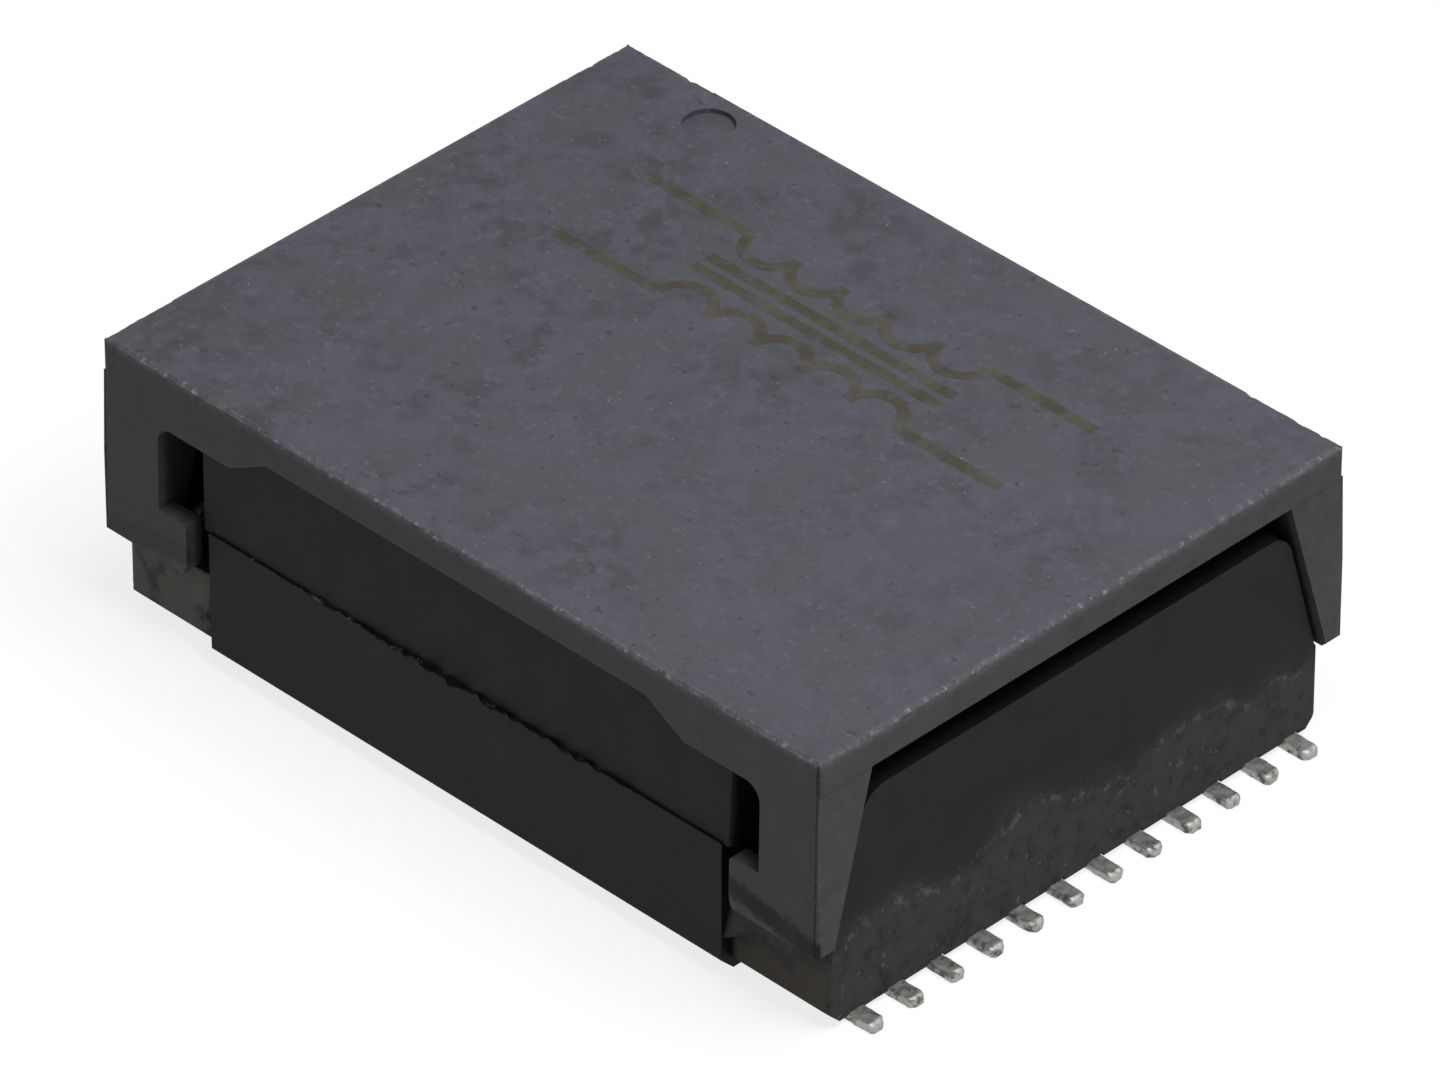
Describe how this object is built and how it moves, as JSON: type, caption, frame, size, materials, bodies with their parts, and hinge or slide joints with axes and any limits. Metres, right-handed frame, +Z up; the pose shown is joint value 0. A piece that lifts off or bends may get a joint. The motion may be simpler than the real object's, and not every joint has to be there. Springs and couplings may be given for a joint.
{
  "type": "surface-mount lan transformer module",
  "caption": "Low flat transformer module with a clip-on plate cover on four corner legs, a black open header, ring coils inside and gull feet along both ends.",
  "frame": {"origin": "centre of the footprint on the soldering plane, under the feet", "axes": "+X along the body from the end with leads 1 to 12 to the end with leads 13 to 24, +Y across the body towards the side with the dimple that marks lead 1, +Z up out of the board"},
  "size_m": [0.019, 0.0134, 0.0062],
  "materials": {
    "cover_moulding": "dark blue-grey moulding with a fine mottled matt skin and frayed pale edges",
    "header_moulding": "black moulding, smooth on the side panels, rougher low on the end walls",
    "tinned_lead": "solder-dipped copper alloy, dull silver with soft dimples",
    "ferrite": "dark grey sintered ferrite",
    "enamelled_wire": "enamelled copper wire",
    "silicone": "cloudy cured silicone"
  },
  "bodies": {
    "root": {"cover": "cover_moulding", "header": "header_moulding", "lead_1": "tinned_lead", "lead_2": "tinned_lead", "lead_3": "tinned_lead", "lead_4": "tinned_lead", "lead_5": "tinned_lead", "lead_6": "tinned_lead", "lead_7": "tinned_lead", "lead_8": "tinned_lead", "lead_9": "tinned_lead", "lead_10": "tinned_lead", "lead_11": "tinned_lead", "lead_12": "tinned_lead", "lead_13": "tinned_lead", "lead_14": "tinned_lead", "lead_15": "tinned_lead", "lead_16": "tinned_lead", "lead_17": "tinned_lead", "lead_18": "tinned_lead", "lead_19": "tinned_lead", "lead_20": "tinned_lead", "lead_21": "tinned_lead", "lead_22": "tinned_lead", "lead_23": "tinned_lead", "lead_24": "tinned_lead", "silicone_bed_1": "silicone", "silicone_bed_2": "silicone", "silicone_bed_3": "silicone", "silicone_bed_4": "silicone", "transformer_core_1": "ferrite", "transformer_core_2": "ferrite", "transformer_core_3": "ferrite", "transformer_core_4": "ferrite", "transformer_winding_1": "enamelled_wire", "transformer_winding_2": "enamelled_wire", "transformer_winding_3": "enamelled_wire", "transformer_winding_4": "enamelled_wire", "choke_core_1": "ferrite", "choke_core_2": "ferrite", "choke_core_3": "ferrite", "choke_core_4": "ferrite", "choke_winding_1": "enamelled_wire", "choke_winding_2": "enamelled_wire", "choke_winding_3": "enamelled_wire", "choke_winding_4": "enamelled_wire", "channel_wires_1": "enamelled_wire", "channel_wires_2": "enamelled_wire", "channel_wires_3": "enamelled_wire", "channel_wires_4": "enamelled_wire"}
  },
  "joints": []
}
